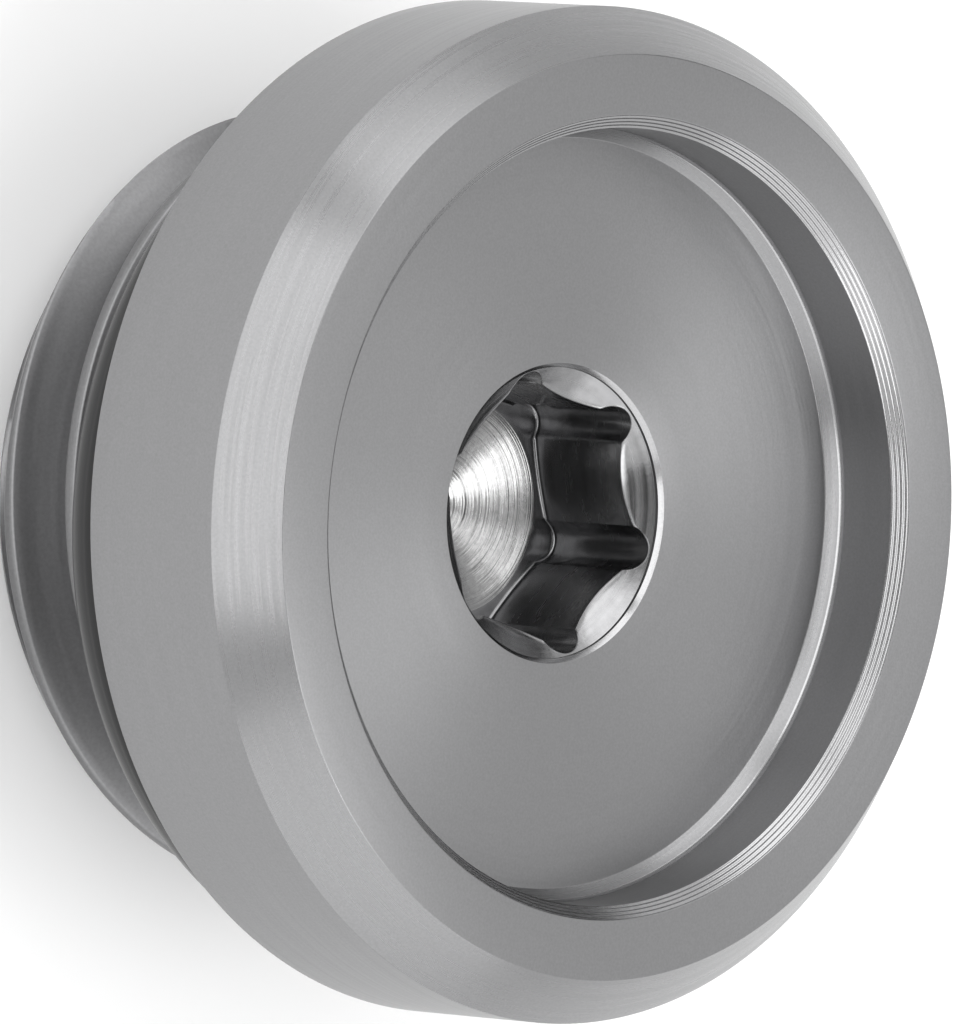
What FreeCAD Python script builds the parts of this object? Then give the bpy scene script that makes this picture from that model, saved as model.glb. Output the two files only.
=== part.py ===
# Oil filler plug: a turned metal screw plug with a six-lobed drive socket, and its sealing ring.
# Millimetres and degrees. The origin is the middle of the thread's end face, and +Z runs out
# through the head, so the plug stands on its thread with the socket up.

import FreeCAD, Part
import math
import os

# Thread: coarse, right-handed, 60 degree flanks
thread_diameter = 22.0
thread_pitch = 2.5
thread_length = 5.3
thread_flank_angle = 30.0
thread_crest_height = 0.115  # centre of the lowest crest above the end face, on the +X side
end_chamfer_length = 1.93
shoulder_chamfer = 0.3

# Neck behind the head, which carries the sealing ring
neck_relief = 0.27  # neck below the bottom of the thread
neck_corner = 0.4  # bevel in the corner under the head

# Sealing ring
ring_section = 3.0
ring_slack = 0.55  # ring's hole over the neck, at the radius
ring_least_gap = 0.2  # left between ring and neck on the side where the ring lies closest
ring_play = 0.38  # ring's freedom along the neck

# Head
head_diameter = 28.0
head_height = 6.32
head_chamfer_width = 1.29
head_chamfer_height = 1.47
head_rim_width = 1.65

# Recess in the front of the head
recess_depth = 2.63
recess_mouth_chamfer = 0.37
recess_corner = 0.5  # bevel in the corner at its floor

# Six-lobed drive socket
socket_diameter = 7.93  # across the tips of opposite lobes
socket_flute_depth = 0.7
socket_lobe_radius = 0.55
socket_depth = 4.04  # below the floor of the recess
socket_turn = 16.4  # from +X to the first lobe
socket_lobes = 6

# Small step at the mouth of the socket, and the countersink inside it
step_clearance = 0.055
step_depth = 0.22
step_slope = 35.0  # fall of the countersink towards the middle

# Cone that the drill left at the bottom of the socket
drill_margin = 0.265  # inside the socket's flutes
drill_point_angle = 140.0

# Sizes that follow
thread_radius = thread_diameter / 2
thread_triangle = thread_pitch / 2 / math.tan(math.radians(thread_flank_angle))
thread_crest_width = thread_pitch / 8
thread_depth = thread_triangle * 17 / 24
cutter_overshoot = thread_pitch / 25  # how far the cut starts outside the crests
thread_root = thread_radius - thread_depth
neck_radius = thread_root - neck_relief
neck_length = ring_section + ring_play
ring_radius = neck_radius + ring_slack + ring_section / 2
ring_shift = ring_slack - ring_least_gap
underside = thread_length + neck_length
front = underside + head_height
head_radius = head_diameter / 2
rim_radius = head_radius - head_chamfer_width
recess_mouth = rim_radius - head_rim_width
recess_radius = recess_mouth - recess_mouth_chamfer
recess_floor = front - recess_depth
socket_tip = socket_diameter / 2
socket_flute = socket_tip - socket_flute_depth
socket_floor = recess_floor - socket_depth
step_radius = socket_tip + step_clearance
step_floor = recess_floor - step_depth
step_middle = step_floor - step_radius * math.tan(math.radians(step_slope))
drill_radius = socket_flute - drill_margin
drill_depth = drill_radius / math.tan(math.radians(drill_point_angle / 2))

AXIS_FOOT = FreeCAD.Vector(0, 0, 0)
AXIS = FreeCAD.Vector(0, 0, 1)


def section_point(radius, height):
    """A point of a turned profile, in the XZ plane."""
    return FreeCAD.Vector(radius, 0, height)


def flat_point(radius, angle, height):
    """A point at a distance and an angle in degrees from the axis."""
    turned = math.radians(angle)
    return FreeCAD.Vector(radius * math.cos(turned), radius * math.sin(turned), height)


def line(start, end):
    """A straight edge."""
    return Part.LineSegment(start, end).toShape()


def arc(start, middle, end):
    """A round edge through three points."""
    return Part.Arc(start, middle, end).toShape()


def chain(points):
    """Straight edges from each point to the next."""
    return [line(start, end) for start, end in zip(points, points[1:])]


def turned_blank():
    """The whole plug as it comes off the lathe, before the thread and the socket are cut."""
    profile = chain([
        section_point(0, 0),
        section_point(thread_root, 0),
        section_point(thread_radius, end_chamfer_length),
        section_point(thread_radius, thread_length - shoulder_chamfer),
        section_point(thread_radius - shoulder_chamfer, thread_length),
        section_point(neck_radius, thread_length),
        section_point(neck_radius, underside - neck_corner),
        section_point(neck_radius + neck_corner, underside),
        section_point(head_radius, underside),
        section_point(head_radius, front - head_chamfer_height),
        section_point(rim_radius, front),
        section_point(recess_mouth, front),
        section_point(recess_radius, front - recess_mouth_chamfer),
        section_point(recess_radius, recess_floor + recess_corner),
        section_point(recess_radius - recess_corner, recess_floor),
        section_point(step_radius, recess_floor),
        section_point(step_radius, step_floor),
        section_point(0, step_middle),
        section_point(0, 0),
    ])
    return Part.Face(Part.Wire(profile)).revolve(AXIS_FOOT, AXIS, 360)


def groove_profile(middle):
    """The section of the space between two crests, at a height."""
    slope = math.tan(math.radians(thread_flank_angle))
    mouth = thread_radius + cutter_overshoot
    half_mouth = (thread_pitch - thread_crest_width) / 2 + cutter_overshoot * slope
    half_root = half_mouth - (mouth - thread_root) * slope
    low_mouth = section_point(mouth, middle - half_mouth)
    low_root = section_point(thread_root, middle - half_root)
    high_root = section_point(thread_root, middle + half_root)
    high_mouth = section_point(mouth, middle + half_mouth)
    return Part.Wire(chain([low_mouth, low_root, high_root, high_mouth, low_mouth]))


def thread_grooves():
    """The helical space between the crests, one solid for each turn, from the neck to below the end face."""
    last = (thread_length + underside) / 2
    start_angle = 360 * (last - thread_crest_height - thread_pitch / 2) / thread_pitch
    turns = math.ceil((last + thread_pitch) / thread_pitch)
    grooves = []
    for turn in range(turns):
        foot = last - (turn + 1) * thread_pitch
        helix = Part.makeHelix(thread_pitch, thread_pitch, thread_radius)
        helix.translate(FreeCAD.Vector(0, 0, foot))
        groove = Part.Wire(helix.Edges).makePipeShell([groove_profile(foot)], True, True)
        groove.rotate(AXIS_FOOT, AXIS, start_angle)
        grooves.append(groove)
    return grooves


def lobed_outline(height):
    """The socket's outline: six round lobes joined by arcs that bulge towards the middle, all tangent."""
    half_step = 180 / socket_lobes
    lobe_centre = socket_tip - socket_lobe_radius
    along = lobe_centre * math.cos(math.radians(half_step))
    flute_radius = (socket_flute ** 2 + lobe_centre ** 2 - 2 * along * socket_flute - socket_lobe_radius ** 2)
    flute_radius /= 2 * (socket_lobe_radius - socket_flute + along)
    flute_centre = socket_flute + flute_radius
    share = socket_lobe_radius / (socket_lobe_radius + flute_radius)
    edges = []
    for lobe in range(socket_lobes):
        angle = socket_turn + lobe * 2 * half_step
        centre = flat_point(lobe_centre, angle, height)
        before = centre + (flat_point(flute_centre, angle - half_step, height) - centre) * share
        after = centre + (flat_point(flute_centre, angle + half_step, height) - centre) * share
        next_centre = flat_point(lobe_centre, angle + 2 * half_step, height)
        next_before = next_centre + (flat_point(flute_centre, angle + half_step, height) - next_centre) * share
        edges.append(arc(before, flat_point(socket_tip, angle, height), after))
        edges.append(arc(after, flat_point(socket_flute, angle + half_step, height), next_before))
    return Part.Wire(edges)


def drive_socket():
    """The space inside the socket: the lobed hole with the drill's cone under its floor."""
    hole = Part.Face(lobed_outline(socket_floor)).extrude(AXIS * socket_depth)
    cone = Part.makeCone(0, drill_radius, drill_depth, FreeCAD.Vector(0, 0, socket_floor - drill_depth))
    return hole.fuse(cone)


def plug_body():
    """The plug, one piece."""
    body = turned_blank().cut(drive_socket())
    for groove in thread_grooves():
        body = body.cut(groove)
    return body


def sealing_ring():
    """The ring, up against the head and off centre towards +X by the slack that it has round the neck."""
    centre = FreeCAD.Vector(ring_shift, 0, underside - ring_section / 2)
    return Part.makeTorus(ring_radius, ring_section / 2, centre, AXIS)


os.makedirs("parts", exist_ok=True)
for name, shape in (("plug_body", plug_body()), ("sealing_ring", sealing_ring())):
    shape.exportStep("parts/" + name + ".step")
    box = shape.BoundBox
    print(name, "solids", len(shape.Solids), "faces", len(shape.Faces), "valid", shape.isValid())
    print("  volume %.1f mm3, size %.2f x %.2f x %.2f mm" % (shape.Volume, box.XLength, box.YLength, box.ZLength))
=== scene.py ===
# %% [markdown]
# An oil filler plug: one piece of turned aluminium with a rubber sealing ring round its neck.
# The plug closes the hole through which oil is poured into an engine. It is screwed in with a
# six-lobed driver, and the ring, squeezed under the head, keeps the oil in.
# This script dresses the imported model. It keeps the sizes of the model, and gives the metal and
# the rubber the fine edges, tool marks and shine that make them look real.

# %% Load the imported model
import bpy
import bmesh
import mathutils
import numpy as np
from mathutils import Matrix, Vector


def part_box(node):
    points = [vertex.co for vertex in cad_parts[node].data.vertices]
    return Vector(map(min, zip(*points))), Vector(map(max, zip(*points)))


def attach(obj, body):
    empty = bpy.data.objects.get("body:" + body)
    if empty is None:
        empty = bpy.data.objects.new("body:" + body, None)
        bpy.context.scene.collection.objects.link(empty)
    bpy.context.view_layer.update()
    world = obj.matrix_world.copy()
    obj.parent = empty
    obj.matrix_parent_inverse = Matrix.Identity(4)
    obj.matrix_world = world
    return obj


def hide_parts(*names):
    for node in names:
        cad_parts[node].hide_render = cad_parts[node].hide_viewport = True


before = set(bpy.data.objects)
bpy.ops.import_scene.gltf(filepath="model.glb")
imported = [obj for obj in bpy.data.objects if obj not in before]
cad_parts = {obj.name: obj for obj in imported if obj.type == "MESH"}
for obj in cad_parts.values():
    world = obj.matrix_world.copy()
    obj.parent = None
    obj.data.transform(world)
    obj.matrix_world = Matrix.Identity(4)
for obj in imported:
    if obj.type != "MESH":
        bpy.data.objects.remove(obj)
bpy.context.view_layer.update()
MM = 0.001
body_low, body_high = (np.array(corner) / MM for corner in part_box("plug_body"))
ring_low, ring_high = (np.array(corner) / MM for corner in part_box("sealing_ring"))
print("plug from", body_low.round(2), "to", body_high.round(2), "mm")
print("ring from", ring_low.round(2), "to", ring_high.round(2), "mm")

# %% [markdown]
# Everything that a lathe makes can be drawn as one line, the profile, which is turned round the
# axis. Followed from the middle of the thread's end, the plug's profile runs up the thread and the
# neck, over the head, down into the recess and through the socket to the axis again.
# The sizes below are millimetres. The width of the head and the height are read from the packed
# model. Heights on the head count down from its front, and heights on the thread up from its end.

# %% The plug's sizes
head_radius = body_high[0]
front = body_high[2]
head_height = 6.32
head_chamfer_width = 1.29
head_chamfer_height = 1.47
head_rim_width = 1.65
mouth_chamfer = 0.37
recess_depth = 2.63
recess_corner = 0.34  # bevel between the recess's wall and its floor
recess_corner_edge = 0.22  # round where that bevel meets the wall
underside = front - head_height
rim_radius = head_radius - head_chamfer_width
mouth_radius = rim_radius - head_rim_width
recess_radius = mouth_radius - mouth_chamfer
recess_floor = front - recess_depth

thread_radius = 11.0
thread_pitch = 2.5
thread_length = 5.3
thread_crest_height = 0.115  # of the lowest crest's middle, on the +X side
end_chamfer_length = 1.93
shoulder_chamfer = 0.3
flank_angle = np.radians(30)
flank_slope = 1 / np.tan(flank_angle)
thread_triangle = thread_pitch / 2 * flank_slope
thread_root = thread_radius - thread_triangle * 17 / 24
neck_relief = 0.27  # neck below the bottom of the thread
neck_radius = thread_root - neck_relief
neck_fillet = 0.4

socket_lobes = 6
socket_diameter = 7.93  # across the tips of opposite lobes
socket_flute_depth = 0.7
socket_lobe_radius = 0.65
socket_flute_radius = 12.0
socket_depth = 4.04
socket_turn = np.radians(16.4)  # from +X to the first lobe
socket_tip = socket_diameter / 2
socket_flute = socket_tip - socket_flute_depth
socket_floor = recess_floor - socket_depth
step_clearance = 0.055
step_depth = 0.22
step_slope = np.tan(np.radians(35))
step_radius = socket_tip + step_clearance
step_floor = recess_floor - step_depth
drill_margin = 0.265  # inside the socket's flutes
drill_point_angle = np.radians(140)
drill_radius = socket_flute - drill_margin
drill_slope = 1 / np.tan(drill_point_angle / 2)
print("head", round(2 * head_radius, 2), "mm across, thread M%g x %g" % (2 * thread_radius, thread_pitch))

# %% [markdown]
# No machined edge is a perfect corner: a file, a brush or the blasting leaves it a few hundredths
# of a millimetre round, and that thin round catches a line of light. So each corner of the profile
# gets a small arc. For a corner between two straight runs, the arc starts and ends at the distance
# radius * tan(turn / 2) from the corner. The profile here goes from the neck to the step round the
# socket: the parts below the neck and inside the step have their own rows further down.

# %% Round the corners of a profile
def rounded(points, radii, steps=5):
    """A profile with an arc in place of each inner corner.

    A point of the arc is centre + radius * (cos, sin) of an angle that runs evenly from the normal
    of the first run to the normal of the second."""
    points = np.array(points, dtype=float)
    pieces = [points[:1]]
    for before, corner, after, radius in zip(points, points[1:], points[2:], radii):
        come = (corner - before) / np.linalg.norm(corner - before)
        go = (after - corner) / np.linalg.norm(after - corner)
        turn = np.arctan2(come[0] * go[1] - come[1] * go[0], come @ go)
        reach = radius * np.tan(abs(turn) / 2)
        side = np.sign(turn) * np.array([-come[1], come[0]])
        centre = corner - come * reach + side * radius
        start = np.arctan2(-side[1], -side[0])
        angles = start + turn * np.linspace(0, 1, steps + 1)
        pieces.append(centre + radius * np.stack([np.cos(angles), np.sin(angles)], axis=1))
    pieces.append(points[-1:])
    return np.concatenate(pieces)


def divided(points, longest):
    """The same profile, with its straight runs cut so that none is longer than a given length."""
    lengths = np.linalg.norm(np.diff(points, axis=0), axis=1)
    cuts = np.maximum(1, np.ceil(lengths / longest)).astype(int)
    stations = np.concatenate([index + np.arange(count) / count for index, count in enumerate(cuts)])
    stations = np.append(stations, len(points) - 1)
    index = np.arange(len(points))
    return np.stack([np.interp(stations, index, column) for column in points.T], axis=1)


fine_edge = 0.05  # round on the turned edges
step_lip_width = 0.12  # of the small bevel at the top of the step
step_lip_depth = 0.13
step_edge = 0.02  # round on that bevel's edges
longest_run = 1.0
outside_points = [
    (neck_radius, thread_length),
    (neck_radius, underside),
    (head_radius, underside),
    (head_radius, front - head_chamfer_height),
    (rim_radius, front),
    (mouth_radius, front),
    (recess_radius, front - mouth_chamfer),
]
outside_radii = [neck_fillet] + 4 * [fine_edge]
outside_profile = divided(rounded(outside_points, outside_radii), longest_run)[:-1]
inside_points = [
    (recess_radius, front - mouth_chamfer),
    (recess_radius, recess_floor + recess_corner),
    (recess_radius - recess_corner, recess_floor),
    (step_radius + step_lip_width, recess_floor),
    (step_radius, recess_floor - step_lip_depth),
    (step_radius, step_floor),
]
inside_radii = [recess_corner_edge, fine_edge, step_edge, step_edge]
inside_profile = divided(rounded(inside_points, inside_radii), longest_run)[1:]
print("profile points:", len(outside_profile), "outside and", len(inside_profile), "inside")

# %% [markdown]
# The bevel at the recess's mouth was cut in one plunge of a worn tool, which left a few fine
# grooves that run right round it and shine as bright lines. They are a ripple across the bevel:
# a point is start + share * run, moved square to the run by
# depth * (1 - cos(full turn * grooves * share)) / 2.

# %% Grooves in the recess's bevel
def even_steps(count, last=1.0):
    """Even steps from zero to a last value, one in each row, without the zero."""
    return np.linspace(0, last, count + 1)[1:, None]


groove_count = 4
groove_depth = 0.016
groove_steps = 8
share = even_steps(groove_steps * groove_count)
bevel_start = np.array([mouth_radius, front])
bevel_run = np.array([-mouth_chamfer, -mouth_chamfer])
bevel_square = np.array([1, -1]) / np.sqrt(2)
ripple = groove_depth * (1 - np.cos(2 * np.pi * groove_count * share)) / 2
bevel_profile = bevel_start + share * bevel_run + ripple * bevel_square
head_profile = np.concatenate([outside_profile, bevel_profile, inside_profile])
print("head profile:", len(head_profile), "points")

# %% [markdown]
# The thread is not a shape of revolution: its crest climbs by one pitch in each turn. But if the
# rows of the grid climb with it, every row lies along one line of the thread, and the crest's
# edges come out crisp. A row keeps its place in the thread's section, and its height is that place
# plus pitch * angle / full turn. Rows that would leave the thread at either end are held at the
# end, where they fall together and are merged later.

# %% The thread
columns = 432
angle = np.linspace(0, 2 * np.pi, columns + 1)
crest_half = thread_pitch / 16
crest_round = 0.15
crest_flat = crest_half - crest_round * np.tan(flank_angle)
crest_end = crest_flat + crest_round * np.cos(flank_angle)
root_arc = thread_triangle / 6
root_start = thread_pitch / 2 - root_arc * np.cos(flank_angle)


def thread_section(height):
    """Radius of the thread's section, at a height above the middle of a crest.

    A flat crest with rounded edges, a flank that falls by 1 / tan(flank angle), and a round root.
    Both rounds are circles: middle + or - the square root of radius squared minus distance squared."""
    from_crest = np.abs((height + thread_pitch / 2) % thread_pitch - thread_pitch / 2)
    along_round = np.clip(from_crest - crest_flat, 0, crest_round)
    crest = thread_radius - crest_round + np.sqrt(crest_round ** 2 - along_round ** 2)
    flank = thread_radius - (from_crest - crest_half) * flank_slope
    from_groove = thread_pitch / 2 - from_crest
    inside = np.maximum(root_arc ** 2 - from_groove ** 2, 0)
    root = thread_root + root_arc - np.sqrt(inside)
    return np.select([from_crest < crest_end, from_crest > root_start], [crest, root], flank)


round_steps = 4
flank_steps = 8
crest_turn = np.linspace(0, np.pi / 2 - flank_angle, round_steps + 1)[1:]
root_turn = np.linspace(flank_angle, np.pi / 2, round_steps + 1)[1:]
half_section = np.concatenate([
    [0, crest_flat],
    crest_flat + crest_round * np.sin(crest_turn),
    np.linspace(crest_end, root_start, flank_steps + 1)[1:],
    thread_pitch / 2 - root_arc * np.cos(root_turn),
])
section = np.concatenate([half_section, thread_pitch - half_section[::-1][1:-1]])
turns = np.arange(-2, int(np.ceil(thread_length / thread_pitch)) + 1)  # from below the end to past the neck
rows = np.sort((section[None, :] + turns[:, None] * thread_pitch + thread_crest_height).ravel())
climb = thread_pitch * angle / (2 * np.pi)
thread_heights = np.clip(rows[:, None] + climb[None, :], 0, thread_length)
row_gap = np.diff(rows).max()
print("thread grid:", thread_heights.shape, "rows at most", round(row_gap, 3), "mm apart")

# %% [markdown]
# The end of the thread is bevelled so that it finds its hole, and so is its shoulder at the neck.
# Both bevels cut the thread, so the radius is the smallest of the three: thread, end bevel and
# shoulder bevel. The rows climb across the bevel's upper edge, so the point of each column that
# comes nearest to that edge is moved onto it, which keeps the edge sharp.

# %% Cut the thread's two bevels
def snapped(heights, edge):
    """The same heights, with the nearest one of each column moved onto an edge."""
    nearest = np.argmin(np.abs(heights - edge), axis=0)
    moved = heights.copy()
    moved[nearest, np.arange(heights.shape[1])] = edge
    return moved


shoulder_edge = thread_length - shoulder_chamfer
thread_heights = snapped(snapped(thread_heights, end_chamfer_length), shoulder_edge)
thread_surface = thread_section(thread_heights - climb - thread_crest_height)
end_bevel = thread_root + (thread_radius - thread_root) * thread_heights / end_chamfer_length
shoulder_bevel = thread_radius - (thread_heights - shoulder_edge)
bevels = np.minimum(end_bevel, np.minimum(shoulder_bevel, thread_radius))
thread_radii = np.minimum(thread_surface, bevels)
print("thread radii from", thread_radii.min().round(3), "to", thread_radii.max().round(3), "mm")

# %% [markdown]
# Seen from above, the drive socket is a star with six round lobes, which meet the flat-looking
# flutes between them in soft corners. Its outline is made of arcs: small ones round the lobes, and
# very large ones that bulge a little towards the middle. Measured from the axis, each direction
# meets an arc once, so the outline is a distance that depends on the angle alone, and where a lobe
# and a flute cross, the larger distance is the wall.

# %% The socket's outline
lobe_centre = socket_tip - socket_lobe_radius
flute_centre = socket_flute + socket_flute_radius


def socket_outline(angle):
    """Distance from the axis to the socket's wall.

    For a lobe it is the far crossing of a ray with the lobe's circle, and for a flute the near
    crossing with the flute's circle: distance * cos(turn) plus or minus the square root of
    radius squared minus (distance * sin(turn)) squared. The larger one counts."""
    half_lobe = np.pi / socket_lobes
    from_lobe = (angle - socket_turn + half_lobe) % (2 * half_lobe) - half_lobe
    from_flute = half_lobe - np.abs(from_lobe)
    lobe_square = socket_lobe_radius ** 2 - (lobe_centre * np.sin(from_lobe)) ** 2
    flute_square = socket_flute_radius ** 2 - (flute_centre * np.sin(from_flute)) ** 2
    lobe = np.where(lobe_square > 0, lobe_centre * np.cos(from_lobe) + np.sqrt(np.maximum(lobe_square, 0)), 0)
    flute = flute_centre * np.cos(from_flute) - np.sqrt(flute_square)
    return np.maximum(lobe, flute)


outline = socket_outline(angle)
print("socket from", outline.min().round(3), "to", outline.max().round(3), "mm from the axis")

# %% [markdown]
# The inside of the socket starts with a countersink that falls towards the lobed hole. Then come
# the hole's upright wall, a small round corner, its flat floor, and the shallow cone that the
# drill left in the middle. The edge where the wall meets the countersink is hardly broken.
# Each part is a set of rows between two edges: radius = outer + share * (inner - outer).

# %% The socket's rows
lip_edge = 0.03
floor_corner = 0.12
shelf_share = even_steps(5)
shelf_radii = step_radius + shelf_share * (outline + lip_edge - step_radius)
shelf_heights = step_floor - step_slope * (step_radius - shelf_radii)
lip_turn = even_steps(4, np.pi / 2)
lip_top = step_floor - step_slope * (step_radius - outline - lip_edge)
lip_radii = outline + lip_edge * (1 - np.sin(lip_turn))
lip_heights = lip_top - lip_edge * (1 - np.cos(lip_turn))
wall_share = even_steps(6)
wall_radii = np.repeat(outline[None, :], len(wall_share), axis=0)
wall_heights = (lip_top - lip_edge) + wall_share * (socket_floor + floor_corner - lip_top + lip_edge)
corner_turn = even_steps(5, np.pi / 2)
corner_radii = outline - floor_corner * (1 - np.cos(corner_turn))
corner_heights = socket_floor + floor_corner * (1 - np.sin(corner_turn)) + 0 * angle
floor_share = even_steps(3)
floor_radii = corner_radii[-1] + floor_share * (drill_radius - corner_radii[-1])
cone_share = even_steps(12)
cone_radii = drill_radius * (1 - cone_share) + 0 * angle
cone_heights = socket_floor - drill_slope * (drill_radius - cone_radii)

# %% [markdown]
# All the rows are stacked into one grid, from the middle of the thread's end to the tip of the
# drill's cone, and the grid becomes a mesh: a point is (radius cos, radius sin, height).
# Where points fall together, at the seam, on the axis and at the ends of the thread, they are
# merged, so that the skin is closed all round.
# Each strip of faces between two rows also gets a number, which says how that stretch was cut:
# the middle of the strip tells where on the head it lies.

# %% Turn a grid into a closed mesh
def grid_faces(row_count, column_count):
    """Four-sided faces between neighbouring rows and columns of a grid."""
    corner = np.arange(row_count - 1)[:, None] * column_count + np.arange(column_count - 1)
    above = corner + column_count
    return np.stack([corner, corner + 1, above + 1, above], axis=-1).reshape(-1, 4)


same_point = 0.0002  # points that are nearer than this are merged
no_length = 0.00001  # edges that are shorter than this are taken out
crease = np.radians(30)  # where two faces meet at a greater angle, the edge is shaded sharp


def piece_from_grid(name, points, zones):
    """A closed piece from a grid of points in millimetres, with a material number for each row of faces."""
    faces = grid_faces(*points.shape[:2])
    mesh = bpy.data.meshes.new(name)
    mesh.from_pydata((points.reshape(-1, 3) * MM).tolist(), [], faces.tolist())
    mesh.polygons.foreach_set("material_index", np.repeat(zones, points.shape[1] - 1).astype(np.int32))
    mesh.update()
    piece = bpy.data.objects.new(name, mesh)
    bpy.context.scene.collection.objects.link(piece)
    work = bmesh.new()
    work.from_mesh(mesh)
    bmesh.ops.remove_doubles(work, verts=work.verts, dist=same_point * MM)
    bmesh.ops.dissolve_degenerate(work, edges=work.edges, dist=no_length * MM)
    open_edges = sum(not edge.is_manifold for edge in work.edges)
    volume = work.calc_volume(signed=True) / MM ** 3
    work.to_mesh(mesh)
    work.free()
    mesh.shade_smooth()
    mesh.set_sharp_from_angle(angle=crease)
    triangles = sum(len(face.vertices) - 2 for face in mesh.polygons)
    print(name, "triangles", triangles, "open edges", open_edges, "volume", round(volume, 1), "mm3")
    return piece


SATIN, SIDE, BEVEL, FINE, CUT, SUNK, BROACHED, DRILLED = range(8)
end_steps = 5
end_radii = np.linspace(0, thread_root, end_steps + 1)[:-1, None] + 0 * angle
head_radii = head_profile[:, :1] + 0 * angle
head_heights = head_profile[:, 1:] + 0 * angle
strip_start = np.concatenate([head_profile[:1], head_profile[:-1]])
strip_radius, strip_height = ((strip_start + head_profile) / 2).T
on_outer_bevel = (strip_radius > rim_radius) & (strip_height > front - head_chamfer_height)
on_mouth_bevel = (strip_radius < mouth_radius) & (strip_radius > recess_radius) & (
    strip_height > front - mouth_chamfer)
on_side = (strip_radius > rim_radius) & (strip_height < front - head_chamfer_height)
recess_corner_reach = recess_corner_edge * np.tan(np.radians(45) / 2)
on_corner = (strip_radius < recess_radius) & (strip_radius > recess_radius - recess_corner) & (
    strip_height < recess_floor + recess_corner + recess_corner_reach)
on_corner_run = on_corner & (strip_height < recess_floor + recess_corner - recess_corner_reach / np.sqrt(2))
on_lip = (strip_radius < step_radius + step_lip_width) & (strip_height > recess_floor - step_lip_depth)
head_zone = np.select([on_side, on_outer_bevel | on_corner_run, on_mouth_bevel | on_corner | on_lip],
                      [SIDE, BEVEL, FINE], SATIN)
print("strips of the head:", len(head_zone), "of them fine turned:", np.count_nonzero(head_zone == FINE))
stack = [
    (end_radii, 0 * end_radii, CUT),
    (thread_radii, thread_heights, CUT),
    (head_radii, head_heights, head_zone),
    (shelf_radii, shelf_heights, SUNK),
    (lip_radii, lip_heights, BROACHED),
    (wall_radii, wall_heights, BROACHED),
    (corner_radii, corner_heights, BROACHED),
    (floor_radii, 0 * floor_radii + socket_floor, BROACHED),
    (cone_radii, cone_heights, DRILLED),
]
grid_radius = np.concatenate([part[0] for part in stack])
grid_height = np.concatenate([part[1] for part in stack])
row_zone = np.concatenate([part[2] + np.zeros(len(part[0]), dtype=int) for part in stack])[1:]
plug_points = np.stack([grid_radius * np.cos(angle), grid_radius * np.sin(angle), grid_height], axis=-1)
plug = piece_from_grid("turned_plug", plug_points, row_zone)
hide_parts("plug_body")
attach(plug, "root")

# %% [markdown]
# The sealing ring is an O-ring: a round section bent into a circle. It is moulded in two halves,
# and a faint line of flash runs round it where the halves met. Its sizes come from the packed
# solid: the section is as thick as the solid is high, and the ring's middle is the box's middle.
# A point is the ring's centre plus (ring radius + section radius * cos(around)) in the direction of
# the angle, and section radius * sin(around) up.

# %% The sealing ring
section_radius = (ring_high[2] - ring_low[2]) / 2
ring_middle = (ring_high + ring_low) / 2
ring_radius = (ring_high[0] - ring_low[0]) / 2 - section_radius
section_steps = 96
ring_steps = 360
around = np.linspace(-np.pi, np.pi, section_steps + 1)[:, None]
along_ring = np.linspace(0, 2 * np.pi, ring_steps + 1)
flash_height = 0.02
flash_width = np.radians(1.5)
swell = section_radius - flash_height + flash_height * np.exp(-(around / flash_width) ** 2)
ring_x = ring_middle[0] + (ring_radius + swell * np.cos(around)) * np.cos(along_ring)
ring_y = ring_middle[1] + (ring_radius + swell * np.cos(around)) * np.sin(along_ring)
ring_z = ring_middle[2] + swell * np.sin(around) + 0 * along_ring
ring_points = np.stack([ring_x, ring_y, ring_z], axis=-1)
ring = piece_from_grid("o_ring", ring_points, np.zeros(section_steps))
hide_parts("sealing_ring")
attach(ring, "root")

# %% [markdown]
# Materials come next. Two small helpers are all they need: one turns a colour as an artist writes
# it, in sRGB hex, into the linear numbers that light is counted in, and one adds a node.

# %% Helpers for materials
def linear(hex_colour):
    """An sRGB colour such as #a0a0a0 as linear red, green, blue and alpha."""
    values = np.array([int(hex_colour[start:start + 2], 16) for start in (1, 3, 5)]) / 255
    values = np.where(values <= 0.04045, values / 12.92, ((values + 0.055) / 1.055) ** 2.4)
    return (*values, 1.0)


def add(tree, kind, inputs=None, **settings):
    """Adds a node with its settings; each input gets a value or a link from another node's output."""
    new = tree.nodes.new(kind)
    for name, value in settings.items():
        setattr(new, name, value)
    for socket, value in (inputs or {}).items():
        if isinstance(value, bpy.types.NodeSocket):
            tree.links.new(value, new.inputs[socket])
        else:
            new.inputs[socket].default_value = value
    return new


def new_material(name):
    """An empty material with its output node, and its node tree."""
    material = bpy.data.materials.new(name)
    material.use_nodes = True
    tree = material.node_tree
    tree.nodes.clear()
    return material, tree, add(tree, "ShaderNodeOutputMaterial")


# %% [markdown]
# Tool marks on a turned part are rings round its axis. The finest are narrower than a pixel, and
# what the eye sees of them is that the metal shines in streaks across the rings: the shader's
# anisotropy gives that, turned a quarter so that it spreads across the marks. The marks themselves
# come from a noise that changes with the distance from the axis and the height, and hardly at all
# along the ring. They are drawn a tenth of a millimetre wide or more, coarser than most real ones,
# because finer ones would not show. A second noise gives the grain of a blasted or oxidised skin.

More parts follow.
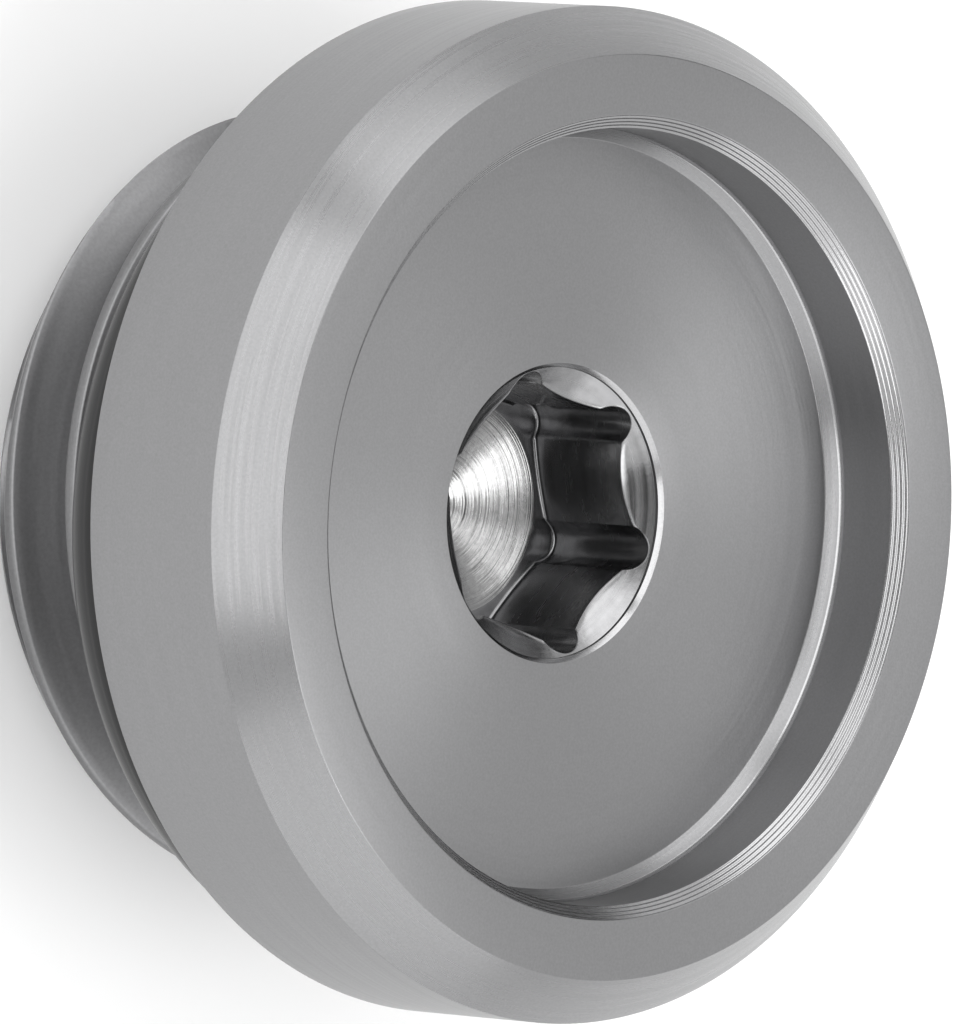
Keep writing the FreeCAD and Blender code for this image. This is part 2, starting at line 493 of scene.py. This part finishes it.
# %% Turned metal
def turned_metal(name, colours, roughness, spread, mark, mark_depth, grain, grain_depth, shine):
    """Metal with marks round the Z axis; mark, grain and both depths are in millimetres.

    The marks' noise is read at (distance from the axis, height) + wander * place, and the grain's
    noise at the place itself. The roughness is the given one, plus or minus spread."""
    material, tree, output = new_material(name)
    wander = 0.02
    place = add(tree, "ShaderNodeTexCoord").outputs["Object"]
    parts = add(tree, "ShaderNodeSeparateXYZ", {0: place})
    flat = add(tree, "ShaderNodeCombineXYZ", {0: parts.outputs[0], 1: parts.outputs[1]})
    radius = add(tree, "ShaderNodeVectorMath", {0: flat.outputs[0]}, operation="LENGTH")
    section = add(tree, "ShaderNodeCombineXYZ", {0: radius.outputs["Value"], 1: parts.outputs[2]})
    drift = add(tree, "ShaderNodeVectorMath", {0: place, "Scale": wander}, operation="SCALE")
    mark_place = add(tree, "ShaderNodeVectorMath", {0: section.outputs[0], 1: drift.outputs[0]},
                     operation="ADD")
    marks = add(tree, "ShaderNodeTexNoise", {"Vector": mark_place.outputs[0], "Scale": 1 / (mark * MM),
                                             "Detail": 3.0, "Roughness": 0.6})
    grains = add(tree, "ShaderNodeTexNoise", {"Vector": place, "Scale": 1 / (grain * MM), "Detail": 2.0})
    rough = add(tree, "ShaderNodeMapRange", {"Value": marks.outputs["Fac"], "From Min": 0.3, "From Max": 0.7,
                                             "To Min": roughness - spread, "To Max": roughness + spread})
    scored = add(tree, "ShaderNodeBump", {"Height": marks.outputs["Fac"], "Strength": 1.0,
                                          "Distance": mark_depth * MM})
    skin = add(tree, "ShaderNodeBump", {"Height": grains.outputs["Fac"], "Strength": 1.0,
                                        "Distance": grain_depth * MM, "Normal": scored.outputs["Normal"]})
    tone = add(tree, "ShaderNodeMix", {"Factor": grains.outputs["Fac"], 6: linear(colours[0]),
                                       7: linear(colours[1])}, data_type="RGBA")
    tangent = add(tree, "ShaderNodeTangent", direction_type="RADIAL", axis="Z")
    shader = add(tree, "ShaderNodeBsdfPrincipled", {"Base Color": tone.outputs[2], "Metallic": 1.0,
                                                    "Roughness": rough.outputs["Result"],
                                                    "Anisotropic": shine, "Anisotropic Rotation": 0.25,
                                                    "Normal": skin.outputs["Normal"],
                                                    "Tangent": tangent.outputs["Tangent"]})
    tree.links.new(shader.outputs["BSDF"], output.inputs["Surface"])
    return material


# Blasted after turning: dull, so light lies on it in broad soft fields.
satin = turned_metal("satin_turned_aluminium", ("#878788", "#979798"), roughness=0.34, spread=0.04,
                     mark=0.12, mark_depth=0.0004, grain=0.07, grain_depth=0.0018, shine=0.75)
# The side of the bar, turned in one long pass: the same soft light, with a base colour a shade darker, which
# is painted shade that tones down its mirror of the bright table.
side = turned_metal("side_turned_aluminium_painted_shade", ("#808081", "#909091"), roughness=0.34, spread=0.04,
                    mark=0.12, mark_depth=0.0004, grain=0.07, grain_depth=0.0018, shine=0.75)
# A bevel cut with a slower feed: streaks that run along it and open out like a fan in the light.
bevel = turned_metal("bevel_turned_aluminium", ("#848485", "#949495"), roughness=0.29, spread=0.05,
                     mark=0.1, mark_depth=0.0006, grain=0.07, grain_depth=0.0018, shine=0.6)
# Narrow edges cut last and not blasted: smoother, and with a lighter base colour that is a painted highlight,
# so they flash as thin white lines.
fine = turned_metal("fine_turned_aluminium_painted_highlight", ("#a0a0a1", "#b0b0b1"), roughness=0.2, spread=0.04,
                    mark=0.1, mark_depth=0.0006, grain=0.07, grain_depth=0.0012, shine=0.5)
# A thread cut with a pointed tool: darker than the head, with an even shine that follows the flanks.
cut = turned_metal("cut_thread_aluminium", ("#757576", "#878788"), roughness=0.36, spread=0.03,
                   mark=0.25, mark_depth=0.0003, grain=0.1, grain_depth=0.0006, shine=0.2)
# A countersink that chattered a little: patches of brighter and duller metal.
sunk = turned_metal("countersunk_aluminium", ("#8e8e8f", "#a4a4a5"), roughness=0.22, spread=0.06,
                    mark=0.2, mark_depth=0.002, grain=0.3, grain_depth=0.004, shine=0.5)
# Walls pressed out by a punch: smeared in broad bands and with no streaks of light, and with a darker base
# colour, which is painted shade deep in the socket.
broached = turned_metal("broached_socket_aluminium_painted_shade", ("#707071", "#8c8c8d"), roughness=0.24, spread=0.06,
                        mark=0.4, mark_depth=0.0018, grain=0.25, grain_depth=0.0018, shine=0.0)
# The drill's cone: coarse rings that glitter round its tip.
drilled = turned_metal("drilled_cone_aluminium", ("#8c8c8c", "#a8a8a8"), roughness=0.2, spread=0.06,
                       mark=0.14, mark_depth=0.03, grain=0.15, grain_depth=0.0008, shine=0.7)
metals = {SATIN: satin, SIDE: side, BEVEL: bevel, FINE: fine, CUT: cut, SUNK: sunk,
          BROACHED: broached, DRILLED: drilled}
for zone in sorted(metals):
    plug.data.materials.append(metals[zone])

# %% [markdown]
# The ring is nitrile rubber, fresh from a polished mould and thinly oiled. It is black, and gleams
# only where it is seen at a low angle, so the eye gets a dark gap with one soft bright edge.

# %% Moulded rubber
def moulded_rubber(name, colour, roughness, grain, grain_depth):
    """Rubber with a fine grain; the grain and its depth are in millimetres."""
    material, tree, output = new_material(name)
    place = add(tree, "ShaderNodeTexCoord").outputs["Object"]
    grains = add(tree, "ShaderNodeTexNoise", {"Vector": place, "Scale": 1 / (grain * MM), "Detail": 3.0})
    skin = add(tree, "ShaderNodeBump", {"Height": grains.outputs["Fac"], "Strength": 1.0,
                                        "Distance": grain_depth * MM})
    shader = add(tree, "ShaderNodeBsdfPrincipled", {"Base Color": linear(colour), "Roughness": roughness,
                                                    "IOR": 1.52, "Specular IOR Level": 0.35,
                                                    "Normal": skin.outputs["Normal"]})
    tree.links.new(shader.outputs["BSDF"], output.inputs["Surface"])
    return material


rubber = moulded_rubber("moulded_nitrile_rubber", "#0e0e0f", roughness=0.24, grain=0.12, grain_depth=0.003)
ring.data.materials.append(rubber)

# %% [markdown]
# The photographer's set is a pale table that runs out of sight, lit softly from all round.
# Metal shows what it mirrors, so each soft box is placed by what a face of the plug looks at:
# the near side of the head's bevel mirrors the wide bank behind the camera, the bevel's two ends
# mirror the boxes at the sides, the flat faces mirror the large box overhead, and the bottom of the
# socket mirrors both boxes overhead. Metal needs something dark to mirror as well, or it looks like
# paint, so there are two cards of black felt. The one above the camera darkens the far scallop of
# the countersink, and the one behind darkens the lowest scallop and one end of the head's bevel.
# The paper has a trace of glow, which lifts the background to the photograph's white.
# A soft box's brightness is power / (pi * area), so power = brightness * pi * area.

# %% Floor and light
floor_reach = 3.0
corners = floor_reach * np.array([(-1, -1, 0), (1, -1, 0), (1, 1, 0), (-1, 1, 0)])
floor_mesh = bpy.data.meshes.new("floor")
floor_mesh.from_pydata(corners.tolist(), [], [(0, 1, 2, 3)])
floor = bpy.data.objects.new("floor", floor_mesh)
bpy.context.scene.collection.objects.link(floor)
paper, paper_tree, paper_output = new_material("pale_paper")
paper_shader = add(paper_tree, "ShaderNodeBsdfPrincipled", {"Base Color": linear("#f6f6f6"), "Roughness": 0.9,
                                                            "Emission Color": linear("#ffffff"),
                                                            "Emission Strength": 0.04})
paper_tree.links.new(paper_shader.outputs["BSDF"], paper_output.inputs["Surface"])
floor_mesh.materials.append(paper)

world = bpy.data.worlds.new("studio")
bpy.context.scene.world = world
world.use_nodes = True
world.node_tree.nodes["Background"].inputs["Color"].default_value = linear("#ffffff")
world.node_tree.nodes["Background"].inputs["Strength"].default_value = 0.95
bpy.context.scene.view_settings.view_transform = "Standard"
aim = mathutils.Vector((0, 0, 0.01))  # what the soft boxes and the cards face, in metres


def soft_box(name, place, width, height, brightness):
    """A soft box in metres that looks at the plug, with its brightness beside a white wall's 1."""
    light = bpy.data.lights.new(name, "AREA")
    light.shape = "RECTANGLE"
    light.size = width
    light.size_y = height
    light.energy = brightness * np.pi * width * height
    lamp = bpy.data.objects.new(name, light)
    lamp.location = place
    lamp.rotation_euler = (aim - mathutils.Vector(place)).to_track_quat("-Z", "Y").to_euler()
    bpy.context.scene.collection.objects.link(lamp)
    print(name, "power", round(light.energy, 2), "W")


soft_box("front_bank", (-0.3, -1.0, 0.8), 1.9, 0.9, 1.5)
soft_box("left_box", (-0.9, -0.02, 0.7), 0.7, 0.8, 1.5)
soft_box("right_box", (1.05, -0.1, 0.55), 1.6, 0.9, 0.75)
soft_box("overhead_box", (0.35, 0.25, 1.15), 0.9, 0.5, 2.8)
soft_box("socket_box", (-0.35, 0.22, 1.15), 0.4, 0.4, 1.6)

felt, felt_tree, felt_output = new_material("black_felt")
felt_shader = add(felt_tree, "ShaderNodeBsdfPrincipled", {"Base Color": linear("#202020"), "Roughness": 1.0})
felt_tree.links.new(felt_shader.outputs["BSDF"], felt_output.inputs["Surface"])


def black_card(name, place, width, height):
    """A card of black felt in metres, square to the plug."""
    turn = (aim - mathutils.Vector(place)).to_track_quat("-Z", "Y").to_matrix()
    across, up = np.array(turn.col[0]) * width / 2, np.array(turn.col[1]) * height / 2
    card_corners = np.array(place) + np.array([-across - up, across - up, across + up, up - across])
    mesh = bpy.data.meshes.new(name)
    mesh.from_pydata(card_corners.tolist(), [], [(0, 1, 2, 3)])
    mesh.materials.append(felt)
    card = bpy.data.objects.new(name, mesh)
    bpy.context.scene.collection.objects.link(card)


black_card("card_above_camera", (0, -0.37, 0.87), 0.9, 0.4)
black_card("card_behind", (-0.42, 0.85, 0.3), 0.8, 0.45)

# %% [markdown]
# The camera stands where the photographer's stood. The ellipse of the head gives the angle between
# the line of sight and the plug's axis, and the lean of the ellipse gives the camera's roll.
# The picture is turned so that the axis runs across it: the picture's right is up along the axis.

# %% Camera
view_angle = np.radians(43.595)
view_roll = np.radians(4.045)
picture_size = np.array([954, 1024])
head_centre_pixel = np.array([622.36, 517.81])
pixels_per_radius = 510.71
distance_in_radii = 40.617
camera_distance = distance_in_radii * head_radius * MM
forward = np.array([0, np.sin(view_angle), -np.cos(view_angle)])
level_right = np.array([0, np.cos(view_angle), np.sin(view_angle)])
right = np.cos(view_roll) * level_right - np.sin(view_roll) * np.array([1, 0, 0])
down = np.sin(view_roll) * level_right + np.cos(view_roll) * np.array([1, 0, 0])
off_centre = (head_centre_pixel - picture_size / 2) / pixels_per_radius * head_radius * MM
face_centre = np.array([0, 0, front * MM])
eye = face_centre - off_centre[0] * right - off_centre[1] * down - camera_distance * forward

camera_data = bpy.data.cameras.new("camera")
camera_data.sensor_fit = "VERTICAL"
camera_data.sensor_height = 36
camera_data.lens = camera_data.sensor_height * pixels_per_radius * distance_in_radii / picture_size[1]
camera_data.clip_start = 0.01
camera = bpy.data.objects.new("camera", camera_data)
pose = np.eye(4)
pose[:3, :3] = np.stack([right, -down, -forward], axis=1)
pose[:3, 3] = eye
camera.matrix_world = mathutils.Matrix(pose.tolist())
bpy.context.scene.collection.objects.link(camera)
bpy.context.scene.camera = camera
print("camera at", (eye / MM).round(1), "mm, lens", round(camera_data.lens, 1), "mm")
